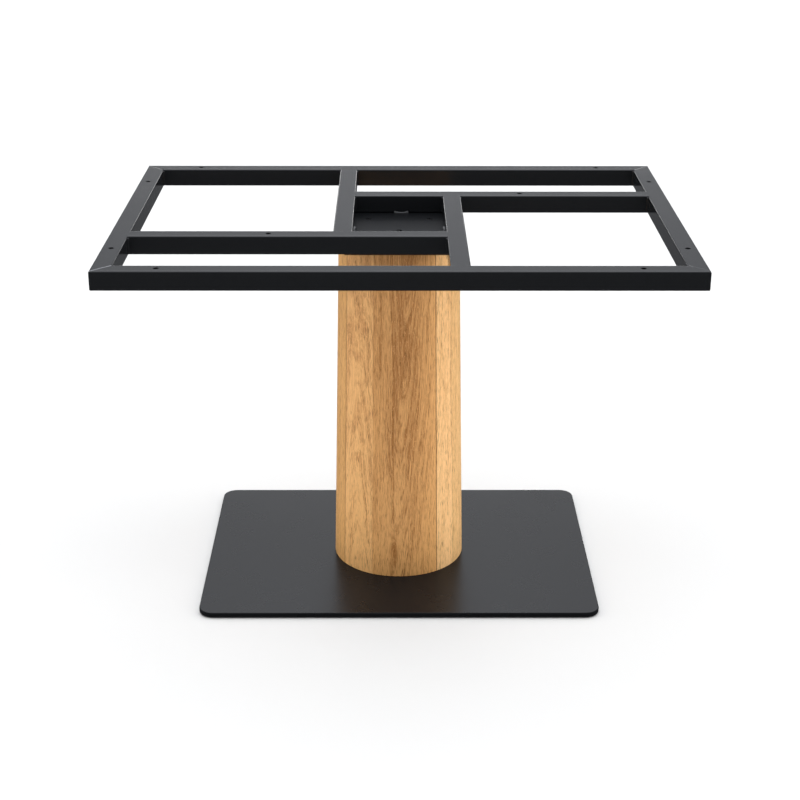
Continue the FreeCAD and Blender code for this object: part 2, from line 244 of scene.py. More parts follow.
class Finish(ABC):
    """What all finishes share: a material with one shader, fed by the surface that each finish draws."""

    name: str

    @abstractmethod
    def surface(self, add: Adder) -> dict[str, object]:
        """Draws the surface.

        Args:
            add: adds a node to the finish's tree.

        Returns:
            For each of the shader's inputs that it sets, the socket that feeds it or its value.
        """

    def material(self) -> bpy.types.Material:
        """Builds the finish.

        Returns:
            The material.
        """
        material = bpy.data.materials.new(self.name)
        material.use_nodes = True
        material.node_tree.nodes.clear()
        add = partial(add_node, material.node_tree)
        add("OutputMaterial", {"Surface": add("BsdfPrincipled", self.surface(add))})
        return material


@dataclass(frozen=True)
class PowderCoat(Finish):
    """Satin black polyester powder, sprayed on and baked.

    It gives a deep, slightly cool black with a soft sheen, and a very fine pebbled skin.
    """

    name: str
    colour: str
    fleck: str
    gloss: float
    roughness: float
    roughness_spread: float = 0.03
    pebble: float = 1.1
    cloud: float = 60.0
    relief: float = 0.006
    relief_share: float = 0.25
    ior: float = 1.45

    def surface(self, add: Adder) -> dict[str, object]:
        """Draws fine flecks, a sheen that changes in slow clouds, and the pebbles.

        Args:
            add: adds a node to the finish's tree.

        Returns:
            The shader's inputs.
        """
        place = add("TexCoord", output="Object")
        pebbles = add("TexNoise", {"Vector": place, "Scale": 1 / (self.pebble * MM), "Detail": 2.0})
        clouds = add("TexNoise", {"Vector": place, "Scale": 1 / (self.cloud * MM), "Detail": 3.0})
        dullest = self.roughness + self.roughness_spread
        glossiest = self.roughness - self.roughness_spread
        return {
            "Base Color": add(
                "MixRGB", {"Fac": pebbles, "Color1": linear(self.colour), "Color2": linear(self.fleck)}
            ),
            "Roughness": add("MapRange", {"Value": clouds, "To Min": glossiest, "To Max": dullest}),
            "Normal": add(
                "Bump", {"Height": pebbles, "Strength": self.relief_share, "Distance": self.relief * MM}
            ),
            "IOR": self.ior,
            "Specular IOR Level": self.gloss,
        }


# Full and even on the frame's tubes, which mirror the room softly
FRAME_COAT = PowderCoat("powder_coat_satin_black", "141516", "191a1c", gloss=0.27, roughness=0.16)
# Duller on the floor plate, which only blurs what it mirrors
PLATE_COAT = PowderCoat("powder_coat_dull_black", "0d0e0f", "121315", gloss=0.165, roughness=0.28)
# Barely glossy at the bottom of the well: painted shade, a dimmer copy of the floor plate's coat for the
# recess that the frame shades
WELL_SHADE_COAT = PowderCoat("powder_coat_shaded_in_well", "0d0e0f", "121315", gloss=0.075, roughness=0.34)
# Lighter and glossier on the beads in the well: a painted highlight, for the light that their ripples catch
WELD_HIGHLIGHT_COAT = PowderCoat("powder_coat_highlight_on_welds", "1f2021", "2a2b2c", gloss=0.5, roughness=0.3)
# Pale grey on the ground bead at the front left mitre: a painted highlight along that seam
ARRIS_HIGHLIGHT_COAT = PowderCoat("powder_coat_painted_highlight_on_arris", "66676a", "76777a", gloss=0.2, roughness=0.45)
# Dry and matt in a seam
SEAM_COAT = PowderCoat("powder_coat_dry_in_seam", "0d0e0f", "121315", gloss=0.08, roughness=0.5)


@dataclass(frozen=True)
class PlatedSteel(Finish):
    """Turned steel under a thin skin, with fine turning marks.

    A plated skin gives a bright metal. A blackened one is an oxide, which is no metal and looks dull.
    """

    name: str
    colour: str
    stain: str
    roughness: float
    metallic: float = 1.0
    gloss: float = 0.5
    mark_spacing: float = 0.8
    roughness_spread: float = 0.08

    def surface(self, add: Adder) -> dict[str, object]:
        """Draws the turning marks, in tone and in sheen.

        Args:
            add: adds a node to the finish's tree.

        Returns:
            The shader's inputs.
        """
        place = add("TexCoord", output="Object")
        marks = add("TexNoise", {"Vector": place, "Scale": 1 / (self.mark_spacing * MM), "Detail": 3.0})
        dullest = self.roughness + self.roughness_spread
        glossiest = self.roughness - self.roughness_spread
        return {
            "Base Color": add(
                "MixRGB", {"Fac": marks, "Color1": linear(self.colour), "Color2": linear(self.stain)}
            ),
            "Roughness": add("MapRange", {"Value": marks, "To Min": glossiest, "To Max": dullest}),
            "Metallic": self.metallic,
            "Specular IOR Level": self.gloss,
        }


ZINC = PlatedSteel("zinc_plated_steel", "c9c8c2", "a9a9a6", roughness=0.34)
BLACK_OXIDE = PlatedSteel("black_oxide_steel", "080809", "050506", roughness=0.5, metallic=0.0, gloss=0.04)


@dataclass(frozen=True)
class MouldedGlide(Finish):
    """Matt black polyethylene, moulded: a dull skin with a fine spark-eroded grain."""

    name: str = "polyethylene_matt_black"
    colour: str = "1b1b1b"
    worn: str = "262626"
    grain: float = 0.9
    roughness: float = 0.62
    relief: float = 0.02
    relief_share: float = 0.3

    def surface(self, add: Adder) -> dict[str, object]:
        """Draws the grain, in tone and in relief.

        Args:
            add: adds a node to the finish's tree.

        Returns:
            The shader's inputs.
        """
        place = add("TexCoord", output="Object")
        grain = add("TexNoise", {"Vector": place, "Scale": 1 / (self.grain * MM), "Detail": 2.0})
        return {
            "Base Color": add(
                "MixRGB", {"Fac": grain, "Color1": linear(self.colour), "Color2": linear(self.worn)}
            ),
            "Roughness": self.roughness,
            "Normal": add(
                "Bump", {"Height": grain, "Strength": self.relief_share, "Distance": self.relief * MM}
            ),
        }


@dataclass(frozen=True)
class Knot:
    """A grown-over branch that bends the grain round itself, in millimetres on the board's face."""

    side: float
    height: float
    half_width: float
    half_length: float
    push: float
    share: float


@dataclass(frozen=True)
class Streak:
    """A stripe along the grain, in millimetres on the board's face.

    It is darker than the board, or paler if its share is below nought, and fades in above its lower end.
    """

    side: float
    half_width: float
    low_end: float
    share: float
    lean: float = 0.0
    fade: float = 150.0


@dataclass(frozen=True)
class Board:
    """One oak board: where it lay in its log, and its tone.

    heart_side and heart_depth place the log's heart: along the board's face from its middle, and in
    millimetres from the column's axis towards the face. Rings that lie flat under the face draw arches,
    and rings that stand on edge draw straight lines. lean_side and lean_depth say how far the log's axis
    leans for each millimetre up. glue_line is how dark the joint on the board's right shows.
    """

    pale: str
    deep: str
    heart_side: float
    heart_depth: float
    lean_side: float
    lean_depth: float
    ring_width: float
    seed: float
    glue_line: float
    knots: tuple[Knot, ...] = ()
    streaks: tuple[Streak, ...] = ()


@dataclass(frozen=True)
class Grain:
    """A mark in the wood that is drawn out along the grain, in millimetres.

    detail is how many finer layers it has, and shift sets it apart from the other marks. It shows where its
    noise lies above low, and has its full share from high.
    """

    width: float
    length: float
    detail: float
    shift: float
    share: float
    low: float = 0.0
    high: float = 1.0


@dataclass(frozen=True)
class OiledOak(Finish):
    """European oak, turned, sanded and oiled: one board of the column.

    It gives honey-coloured wood with fine lines along its growth rings, dark open pores, pale ray flecks
    and a low sheen. Real pores are 0.3 mm wide and glue lines 0.2 mm, too fine to show here, so pores are
    drawn 0.9 mm wide and glue lines 2 mm. first and last are where round the column the board starts and
    ends, in degrees from the front, and foot is the height of the column's lower end.
    """

    name: str
    board: Board
    first: float
    last: float
    foot: float
    bends: Grain = Grain(60.0, 230.0, 1.0, 7.0, share=7.0)
    waves: Grain = Grain(9.0, 60.0, 1.0, 1.0, share=1.0)
    clouds: Grain = Grain(40.0, 160.0, 2.0, 7.7, share=0.3)
    fibres: Grain = Grain(1.1, 34.0, 3.0, 5.3, share=2.0)
    pores: Grain = Grain(0.9, 15.0, 2.0, 3.1, share=1.0, low=0.52, high=0.66)
    flecks: Grain = Grain(1.9, 4.5, 1.0, 9.4, share=0.85, low=0.58, high=0.8)
    checks: Grain = Grain(2.6, 60.0, 1.0, 11.9, share=0.9, low=0.64, high=0.72)
    check_reach: float = 7.0
    band_side: float = 40.0
    band_length: float = 170.0
    band_detail: float = 4.0
    band_harshness: float = 0.8
    spring_low: float = 0.42
    spring_high: float = 0.62
    spring_share: float = 0.58
    pores_in_spring: float = 0.65
    pores_elsewhere: float = 0.35
    tone_span: float = 0.95
    painted_light_at_foot: float = -0.38
    painted_light_reach: float = 420.0
    glue_width: float = 2.0
    pore_colour: str = "5e3a17"
    pore_depth: float = 0.85
    check_colour: str = "2c1a0b"
    gloss: float = 0.35
    roughness: float = 0.46
    pore_roughness: float = 0.2
    relief: float = 0.05
    relief_share: float = 0.5
    ior: float = 1.45

    def surface(self, add: Adder) -> dict[str, object]:
        """Draws the grain, then the flecks, pores, glue line and checks on it.

        Args:
            add: adds a node to the board's tree.

        Returns:
            The shader's inputs.
        """
        # Millimetres on the board: x along its face, -y out of the column, z up
        on_board = add(
            "Mapping",
            {
                "Vector": add("TexCoord", output="Object"),
                "Rotation": (0.0, 0.0, -math.radians((self.first + self.last) / 2)),
                "Scale": (1 / MM, 1 / MM, 1 / MM),
            },
        )
        height = add("SeparateXYZ", {"Vector": on_board}, "Z")
        wander = self.wandering(add, on_board)
        swellings = [(self.swelling(add, knot, on_board), knot) for knot in self.board.knots]
        spring_wood = self.spring_wood(add, wander, height, swellings)

        # Depth of tone
        parts = [(spring_wood, self.spring_share)]
        parts += [(self.noise(add, on_board, grain), grain.share) for grain in (self.clouds, self.fibres)]
        parts += [(swelling, knot.share) for swelling, knot in swellings]
        parts += [(self.stripe(add, streak, wander), streak.share) for streak in self.board.streaks]
        # Painted light: the tone starts paler near the column's foot, to offset the shade from the dark
        # floor plate
        depth = self.near_foot(add, height, self.painted_light_reach, self.painted_light_at_foot)
        for part, share in parts:
            depth = add("Math", {0: part, 1: share, 2: depth}, operation="MULTIPLY_ADD")
        mean_depth = (self.spring_share + self.clouds.share + self.fibres.share) / 2
        depth = add(
            "MapRange",
            {
                "Value": depth,
                "From Min": mean_depth - self.tone_span / 2,
                "From Max": mean_depth + self.tone_span / 2,
            },
        )

        # Open pores crowd in each ring's spring wood
        crowding = add(
            "Math",
            {0: spring_wood, 1: self.pores_in_spring, 2: self.pores_elsewhere},
            operation="MULTIPLY_ADD",
        )
        pores = add(
            "Math", {0: self.marks(add, on_board, self.pores), 1: crowding}, operation="MULTIPLY"
        )

        # Dark checks at the foot, and the glue line
        checks = add(
            "Math",
            {
                0: self.marks(add, on_board, self.checks),
                1: self.near_foot(add, height, self.check_reach, 1.0),
            },
            operation="MULTIPLY",
        )
        stain = add("Math", {0: checks, 1: self.glue_line(add, on_board)}, operation="MAXIMUM")

        tone = linear(self.board.pale)
        for share, colour in (
            (depth, self.board.deep),
            (self.marks(add, on_board, self.flecks), self.board.pale),
            (add("Math", {0: pores, 1: self.pore_depth}, operation="MULTIPLY"), self.pore_colour),
            (stain, self.check_colour),
        ):
            tone = add("MixRGB", {"Fac": share, "Color1": tone, "Color2": linear(colour)})
        return {
            "Base Color": tone,
            "Roughness": add(
                "Math", {0: pores, 1: self.pore_roughness, 2: self.roughness}, operation="MULTIPLY_ADD"
            ),
            "Normal": add(
                "Bump",
                {"Height": pores, "Strength": self.relief_share, "Distance": self.relief * MM},
                invert=True,
            ),
            "IOR": self.ior,
            "Specular IOR Level": self.gloss,
        }

    def noise(
        self, add: Adder, on_board: bpy.types.NodeSocket, grain: Grain, output: str = "Fac"
    ) -> bpy.types.NodeSocket:
        """Noise that is drawn out along the grain.

        Args:
            add: adds a node to the board's tree.
            on_board: the place on the board, in millimetres.
            grain: the mark that it is for.
            output: its strength or its colour.

        Returns:
            The noise.
        """
        stretched = add(
            "Mapping",
            {
                "Vector": on_board,
                "Location": (self.board.seed + grain.shift, grain.shift, self.board.seed),
                "Scale": (1 / grain.width, 1 / grain.width, 1 / grain.length),
            },
        )
        return add("TexNoise", {"Vector": stretched, "Scale": 1.0, "Detail": grain.detail}, output)

    def marks(self, add: Adder, on_board: bpy.types.NodeSocket, grain: Grain) -> bpy.types.NodeSocket:
        """Where a mark shows.

        Args:
            add: adds a node to the board's tree.
            on_board: the place on the board, in millimetres.
            grain: the mark.

        Returns:
            Its share, and nothing between the marks.
        """
        noise = self.noise(add, on_board, grain)
        return add(
            "MapRange",
            {"Value": noise, "From Min": grain.low, "From Max": grain.high, "To Max": grain.share},
        )

    def wandering(self, add: Adder, on_board: bpy.types.NodeSocket) -> bpy.types.NodeSocket:
        """The place on the board with a grain that wanders, over long and short stretches.

        Args:
            add: adds a node to the board's tree.
            on_board: the place on the board, in millimetres.

        Returns:
            The place that the rings are drawn for.
        """
        wander = on_board
        for grain in (self.bends, self.waves):
            noise = self.noise(add, on_board, grain, "Color")
            sway = add("VectorMath", {0: noise, 1: (0.5, 0.5, 0.5)}, operation="SUBTRACT")
            reach = (2 * grain.share, 2 * grain.share, 0.0)
            wander = add("VectorMath", {0: sway, 1: reach, 2: wander}, operation="MULTIPLY_ADD")
        return wander

    def spring_wood(
        self,
        add: Adder,
        wander: bpy.types.NodeSocket,
        height: bpy.types.NodeSocket,
        swellings: list[tuple[bpy.types.NodeSocket, Knot]],
    ) -> bpy.types.NodeSocket:
        """Lines along the growth rings, of several widths, that change slowly up the board.

        Args:
            add: adds a node to the board's tree.
            wander: the place on the board with its wandering grain, in millimetres.
            height: the height on the board.
            swellings: where each knot lifts the rings, and the knot.

        Returns:
            One in a ring's dark spring wood, nothing in its pale summer wood.
        """
        board = self.board
        across, inward = (
            add("VectorMath", {0: wander, 1: direction}, "Value", operation="DOT_PRODUCT")
            for direction in ((1.0, 0.0, board.lean_side), (0.0, 1.0, board.lean_depth))
        )
        from_heart = add(
            "VectorMath",
            {
                0: add("CombineXYZ", {"X": across, "Y": inward}),
                1: (board.heart_side, -board.heart_depth, 0.0),
            },
            "Value",
            operation="DISTANCE",
        )
        for swelling, knot in swellings:
            from_heart = add("Math", {0: swelling, 1: knot.push, 2: from_heart}, operation="MULTIPLY_ADD")
        along_rings = add(
            "Mapping",
            {
                "Vector": add("CombineXYZ", {"X": from_heart, "Y": across, "Z": height}),
                "Location": (board.seed, board.seed, 0.0),
                "Scale": (1 / board.ring_width, 1 / self.band_side, 1 / self.band_length),
            },
        )
        bands = add(
            "TexNoise",
            {
                "Vector": along_rings,
                "Scale": 1.0,
                "Detail": self.band_detail,
                "Roughness": self.band_harshness,
            },
        )
        return add(
            "MapRange", {"Value": bands, "From Min": self.spring_low, "From Max": self.spring_high}
        )

    def near_foot(
        self, add: Adder, height: bpy.types.NodeSocket, reach: float, share: float
    ) -> bpy.types.NodeSocket:
        """How near the column's foot a place is.

        Args:
            add: adds a node to the board's tree.
            height: the height on the board.
            reach: how far up from the foot it counts, in millimetres.
            share: what it is at the foot.

        Returns:
            That share at the foot, falling to nothing at the end of its reach.
        """
        return add(
            "MapRange",
            {
                "Value": height,
                "From Min": self.foot,
                "From Max": self.foot + reach,
                "To Min": share,
                "To Max": 0.0,
            },
        )

    def glue_line(self, add: Adder, on_board: bpy.types.NodeSocket) -> bpy.types.NodeSocket:
        """Where the glue line on the board's right shows.

        Args:
            add: adds a node to the board's tree.
            on_board: the place on the board, in millimetres.

        Returns:
            How dark it is along the joint, and nothing on the rest of the board.
        """
        half = math.radians((self.last - self.first) / 2)
        out_of_joint = (math.cos(half), math.sin(half), 0.0)
        past_joint = add("VectorMath", {0: on_board, 1: out_of_joint}, "Value", operation="DOT_PRODUCT")
        return add(
            "MapRange",
            {
                "Value": past_joint,
                "From Min": -self.glue_width,
                "From Max": -self.glue_width / 2,
                "To Max": self.board.glue_line,
            },
        )

    def swelling(self, add: Adder, knot: Knot, on_board: bpy.types.NodeSocket) -> bpy.types.NodeSocket:
        """How much a knot lifts the rings, so that the grain closes round it.

        Args:
            add: adds a node to the board's tree.
            knot: the knot.
            on_board: the place on the board, in millimetres.

        Returns:
            One at the knot's middle, falling to nothing round it.
        """
        middle = (knot.side, 0.0, knot.height)
        shrink = (1 / knot.half_width, 0.0, 1 / knot.half_length)
        offset = add("VectorMath", {0: on_board, 1: middle}, operation="SUBTRACT")
        offset = add("VectorMath", {0: offset, 1: shrink}, operation="MULTIPLY")
        square = add("VectorMath", {0: offset, 1: offset}, "Value", operation="DOT_PRODUCT")
        falling = add("Math", {0: square, 1: -1.0}, operation="MULTIPLY")
        return add("Math", {0: falling}, operation="EXPONENT")

    def stripe(self, add: Adder, streak: Streak, wander: bpy.types.NodeSocket) -> bpy.types.NodeSocket:
        """Where a streak shows on the board.

        Args:
            add: adds a node to the board's tree.
            streak: the streak.
            wander: the place on the board with its wandering grain, in millimetres.

        Returns:
            One along the streak's middle, falling to nothing beside it and below its lower end.
        """
        leaning = (1.0, 0.0, -streak.lean)
        beside = add("VectorMath", {0: wander, 1: leaning}, "Value", operation="DOT_PRODUCT")
        beside = add("Math", {0: beside, 1: streak.side}, operation="SUBTRACT")
        beside = add("Math", {0: beside}, operation="ABSOLUTE")
        inside = add(
            "MapRange",
            {"Value": beside, "From Max": streak.half_width, "To Min": 1.0, "To Max": 0.0},
            interpolation_type="SMOOTHSTEP",
        )
        height = add("SeparateXYZ", {"Vector": wander}, "Z")
        full_end = streak.low_end + streak.fade
        above = add("MapRange", {"Value": height, "From Min": streak.low_end, "From Max": full_end})
        return add("Math", {0: inside, 1: above}, operation="MULTIPLY")


@dataclass(frozen=True)
class FloorPaint(Finish):
    """Matt white paint on the studio's floor, which fades into the white round it."""

    name: str = "studio_floor_white"
    colour: str = "bbbab7"
    roughness: float = 0.9
    gloss: float = 0.1

    def surface(self, add: Adder) -> dict[str, object]:
        """The paint, the same all over."""
        colour = linear(self.colour)
        return {"Base Color": colour, "Roughness": self.roughness, "Specular IOR Level": self.gloss}


# Sub-assemblies


@dataclass
class OakColumn:
    """The tapered column: staves cut from one turned blank, with a fine V at each joint."""

    base_radius: float = 129.5
    top_radius: float = 115.5
    inner_radius: float = 84.0
    rim_ease: float = 0.8
    joint_ease: float = 0.35
    sides: int = 180
    rows: int = 11
    weld_distance: float = 0.01
    clear: float = 5.0
    joints: tuple[float, ...] = (-57.0, -24.0, 36.0, 57.0, 100.0, 140.0, 180.0, 222.0, 262.0)

    def __post_init__(self) -> None:
        """Reads the column's lower and upper end from its first stave's solid."""
        low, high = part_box("column_stave_1")
        self.foot = low.z / MM
        self.head = high.z / MM

    def boards(self) -> list[Board]:
        """The boards in their order round the column.

        Returns:
            One board for each stave.
        """
        knots = (
            Knot(side=-23.0, height=66.0, half_width=7.0, half_length=34.0, push=5.0, share=0.8),
            Knot(side=-41.0, height=24.0, half_width=8.0, half_length=18.0, push=4.5, share=-0.2),
        )
        streaks = (
            Streak(side=-48.0, half_width=17.0, low_end=200.0, share=0.35, lean=0.07),
            Streak(side=-24.0, half_width=2.4, low_end=60.0, share=0.6),
            Streak(side=13.0, half_width=20.0, low_end=60.0, share=0.3),
            # The pale stripe along the front board's right edge is painted light, where the board turns to
            # the light on the right
            Streak(side=58.0, half_width=20.0, low_end=-150.0, share=-0.35),
        )
        return [
            Board("e9b373", "bd8650", 0.0, 86.0, 0.01, -0.06, 2.2, 3.0, 0.08),
            Board("d8a163", "a36d39", -16.0, 88.0, -0.03, 0.025, 2.2, 17.0, 0.85, knots, streaks),
            Board("f5c488", "d39d60", 90.0, 110.0, 0.004, 0.0, 2.4, 29.0, 0.3),
            Board("ecbd80", "cb985c", -120.0, 120.0, -0.004, 0.0, 2.8, 41.0, 0.2),
            Board("dcaa6a", "bd8448", 20.0, 80.0, 0.02, 0.03, 2.4, 53.0, 0.2),
            Board("d29f60", "ac763c", 110.0, 100.0, 0.006, 0.0, 2.8, 61.0, 0.3),
            Board("dfad6e", "c0884a", -10.0, 84.0, 0.0, -0.03, 2.4, 73.0, 0.2),
            Board("d6a364", "b47d42", -95.0, 115.0, -0.005, 0.0, 2.8, 83.0, 0.3),
            Board("dba667", "ba894e", 100.0, 105.0, 0.005, 0.0, 2.8, 97.0, 0.5),
        ]

    def turn_blank(self) -> bpy.types.Object:
        """Turns the whole column from a cylinder.

        Returns:
            The blank, tapered, with eased rims and a few level cut lines.
        """
        height = self.head - self.foot
        blank = new_piece(
            "column_blank",
            bpy.ops.mesh.primitive_cylinder_add,
            vertices=self.sides,
            radius=self.base_radius * MM,
            depth=height * MM,
            location=(0.0, 0.0, (self.foot + height / 2) * MM),
        )
        narrowing = self.top_radius / self.base_radius
        with editing(blank):
            select(Pick.POINTS, lambda middle, reach: middle.z > self.head - LEVEL)
            bpy.ops.transform.resize(
                value=(narrowing, narrowing, 1.0), center_override=(0.0, 0.0, self.head * MM)
            )
            select(Pick.EDGES, lambda middle, reach: reach.z < LEVEL)
            bpy.ops.mesh.bevel(offset=self.rim_ease * MM, segments=3, affect="EDGES")
            for row in range(1, self.rows):
                level = self.foot + height * row / self.rows
                cut(Vector((0.0, 0.0, level)), Vector((0.0, 0.0, 1.0)), fill=False)
        return blank

    def direction(self, angle: float) -> Vector:
        """The level direction at an angle from the front towards +X, in degrees."""
        return Vector((math.sin(math.radians(angle)), -math.cos(math.radians(angle)), 0.0))

    def cut_stave(self, blank: bpy.types.Object, name: str, first: float, last: float) -> bpy.types.Object:
        """Cuts one stave from a copy of the blank.

        Args:
            blank: the turned blank.
            name: the stave's name.
            first: the angle of its first joint, in degrees.
            last: the angle of its last joint.

        Returns:
            The stave.
        """
        stave = copy_of(blank, name, Matrix.Identity(4))
        axis = Vector((0.0, 0.0, 0.0))
        middle_angle = (first + last) / 2
        half = math.radians((last - first) / 2)
        inner_face = self.inner_radius * math.cos(half)
        first_out = self.direction(first)
        last_out = self.direction(last)

        def on_arris(middle: Vector, reach: Vector) -> bool:
            """True for an upright edge where the outside meets a joint."""
            flat = Vector((middle.x, middle.y, 0.0))
            off_joint = min(flat.cross(first_out).length, flat.cross(last_out).length)
            outside = flat.length > self.inner_radius + self.clear
            return off_joint < self.weld_distance and outside and reach.z > self.clear

        with editing(stave):
            cut(axis, self.direction(first - 90.0))
            cut(axis, self.direction(last + 90.0))
            cut(self.direction(middle_angle) * inner_face, -self.direction(middle_angle))
            select(Pick.EDGES, on_arris)
            bpy.ops.mesh.bevel(offset=self.joint_ease * MM, segments=1, affect="EDGES")
            bpy.ops.mesh.select_all(action="SELECT")
            bpy.ops.mesh.remove_doubles(threshold=self.weld_distance * MM)
            face_out()
        shade(stave)
        return stave

    def build(self) -> None:
        """Cuts and dresses each stave."""
        blank = self.turn_blank()
        ends = [*self.joints[1:], self.joints[0] + 360.0]
        for number, (board, first, last) in enumerate(zip(self.boards(), self.joints, ends), start=1):
            stave = self.cut_stave(blank, f"oak_stave_{number}", first, last)
            oak = OiledOak(f"oiled_oak_board_{number}", board, first, last, self.foot)
            hand_over(stave, oak.material(), f"column_stave_{number}")
        bpy.data.objects.remove(blank)


class Profile(Enum):
    """How thick a weld bead is along its length."""

    BOW_TIE = "thick at both ends, where the arc was held"
    EVEN = "the same all along"


@dataclass
class WeldBead:
    """A rippled bead in the corner between two walls."""

    length: float
    leg: float
    waist: float
    profile: Profile
    ripple: float = 1.7
    ripple_rise: float = 0.07
    steps_per_ripple: int = 4
    sides: int = 24
    end_share: float = 0.15
    end_reach: float = 0.35

    def radius(self, along: float) -> float:
        """The bead's radius at a place along it.

        Args:
            along: millimetres from its start.

        Returns:
            The radius in millimetres.
        """
        from_middle = abs(2 * along / self.length - 1)
        body = self.leg
        if self.profile is Profile.BOW_TIE:
            body = self.waist + (self.leg - self.waist) * from_middle ** 2
        wave = 1 - self.ripple_rise * (1 + math.cos(2 * math.pi * along / self.ripple)) / 2
        end_distance = min(along, self.length - along)
        rounding = math.sqrt(min(1.0, self.end_share + end_distance / (self.end_reach * self.leg)))
        return body * wave * rounding

    def build(self, name: str) -> bpy.types.Object:
        """Draws the bead out of a disc, ring by ring along X, and trims it to the corner.

        Args:
            name: the bead's name.

        Returns:
            The bead in the corner of a wall at y = 0 and a floor at z = 0, on the wall's -Y side.
        """
        steps = round(self.length / self.ripple * self.steps_per_ripple)
        step = self.length / steps
        start = -self.length / 2
        corner = Vector((0.0, 0.0, 0.0))
        bead = new_piece(
            name,
            bpy.ops.mesh.primitive_circle_add,
            vertices=self.sides,
            radius=self.radius(0.0) * MM,
            fill_type="NGON",
            location=(start * MM, 0.0, 0.0),
            rotation=(0.0, math.pi / 2, 0.0),
        )
        with editing(bead):
            for index in range(steps):
                growth = self.radius((index + 1) * step) / self.radius(index * step)
                bpy.ops.mesh.extrude_region_move(TRANSFORM_OT_translate={"value": (step * MM, 0.0, 0.0)})
                bpy.ops.transform.resize(
                    value=(1.0, growth, growth),
                    center_override=((start + (index + 1) * step) * MM, 0.0, 0.0),
                )
            face_out()
            cut(corner, Vector((0.0, 1.0, 0.0)))
            cut(corner, Vector((0.0, 0.0, -1.0)))
            face_out()
        shade(bead)
        return bead


@dataclass
class FrameWelds:
    """The welds of the frame.

    Upright beads stand in its corners, four short ones lie on the plate in its well, and four ground flush
    fill the hollows along the mitres on its top.
    """

    inner_edge_x: float = 490.0
    inner_edge_y: float = 335.0
    cross_bar_near: float = 86.0
    cross_bar_far: float = 121.0
    long_bar_near: float = 124.0
    long_bar_far: float = 159.0
    corner_leg: float = 2.8
    plate_leg: float = 6.0
    plate_waist: float = 2.2
    plate_length: float = 29.0
    back_shift: float = 4.5
    mitre_x: float = 507.5
    mitre_y: float = 352.5
    mitre_width: float = 2.0
    mitre_length: float = 46.0
    mitre_height: float = 0.5
    mitre_round: float = 0.4

    def corners(self) -> list[tuple[float, float, int, int]]:
        """The corners with an upright bead.

        Returns:
            The corner's x and y, and on which side of it lies the open space along X and along Y.
        """
        left = -self.inner_edge_x
        front = -self.inner_edge_y
        near_x = self.cross_bar_near
        far_x = self.cross_bar_far
        near_y = self.long_bar_near
        far_y = self.long_bar_far
        half_turn = [
            (left, front, 1, 1),
            (-left, front, -1, 1),
            (left, -far_y, 1, -1),
            (left, -near_y, 1, 1),
            (near_x, -far_y, -1, -1),
            (near_x, -near_y, -1, 1),
            (near_x, front, -1, 1),
            (far_x, front, 1, 1),
            (near_x, near_y, -1, -1),
            (far_x, near_y, 1, -1),
        ]
        return half_turn + [(-x, -y, -open_x, -open_y) for x, y, open_x, open_y in half_turn]

    def build(self, coat: bpy.types.Material) -> None:
        """Models each kind of weld once and copies it to its places.

        Args:
            coat: the frame's powder coat, which covers the corner beads.
        """
        # A lighter coat paints the highlight on the beads in the well
        weld_highlight_coat = WELD_HIGHLIGHT_COAT.material()
        self.build_mitres(coat)
        low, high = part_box("frame_welds")
        length = (high.z - low.z) / MM
        middle = (high.z + low.z) / 2
        upright = WeldBead(length, self.corner_leg, self.corner_leg, Profile.EVEN).build("corner_weld")
        upright.data.transform(Matrix.Rotation(-math.pi / 2, 4, "Y"))
        quarter_turns = {(-1, -1): 0, (1, -1): 1, (1, 1): 2, (-1, 1): 3}
        for number, (x, y, open_x, open_y) in enumerate(self.corners(), start=1):
            turn = Matrix.Rotation(quarter_turns[open_x, open_y] * math.pi / 2, 4, "Z")
            place = Matrix.Translation((x * MM, y * MM, middle)) @ turn
            weld = copy_of(upright, f"corner_weld_{number:02d}", place)
            hand_over(weld, coat, "frame_welds")
        bpy.data.objects.remove(upright)

        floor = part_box("mounting_plate_welds")[0].z
        bead = WeldBead(self.plate_length, self.plate_leg, self.plate_waist, Profile.BOW_TIE)
        lying = bead.build("plate_weld")
        walls = {
            "back": (self.back_shift, self.long_bar_near, 0),
            "right": (self.cross_bar_near, 0.0, 3),
            "front": (0.0, -self.long_bar_near, 2),
            "left": (-self.cross_bar_near, 0.0, 1),
        }
        for name, (x, y, quarters) in walls.items():
            turn = Matrix.Rotation(quarters * math.pi / 2, 4, "Z")
            weld = copy_of(lying, f"plate_weld_{name}", Matrix.Translation((x * MM, y * MM, floor)) @ turn)
            hand_over(weld, weld_highlight_coat, "mounting_plate_welds")
        bpy.data.objects.remove(lying)

    def build_mitres(self, coat: bpy.types.Material) -> None:
        """Lays a ground bead in the hollow along each mitre on the frame's top, flush with it.

        Args:
            coat: the frame's powder coat, which hides the bead at the front right.
        """
        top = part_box("front_rail")[1].z
        bead = new_piece(
            "mitre_weld",
            bpy.ops.mesh.primitive_cube_add,
            size=1.0,
            scale=(self.mitre_length * MM, self.mitre_width * MM, self.mitre_height * MM),
            location=(0.0, 0.0, -self.mitre_height / 2 * MM),
        )
        with editing(bead):
            select(Pick.EDGES, lambda middle, reach: middle.z > -self.mitre_height / 4)
            bpy.ops.mesh.bevel(offset=self.mitre_round * MM, segments=4, affect="EDGES")
        shade(bead)
        seam_coat = SEAM_COAT.material()
        for name, side_x, side_y, finish in (
            # The pale grey at the front left is a painted highlight
            ("front_left", -1, -1, ARRIS_HIGHLIGHT_COAT.material()),
            ("front_right", 1, -1, coat),
            ("back_right", 1, 1, seam_coat),
            ("back_left", -1, 1, seam_coat),
        ):
            turn = Matrix.Rotation(side_x * side_y * math.pi / 4, 4, "Z")
            place = Matrix.Translation((side_x * self.mitre_x * MM, side_y * self.mitre_y * MM, top)) @ turn
            weld = copy_of(bead, f"mitre_weld_{name}", place)
            weld.data.materials.append(finish)
            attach(weld, BODY)
            log.info("%s is laid", weld.name)
        bpy.data.objects.remove(bead)


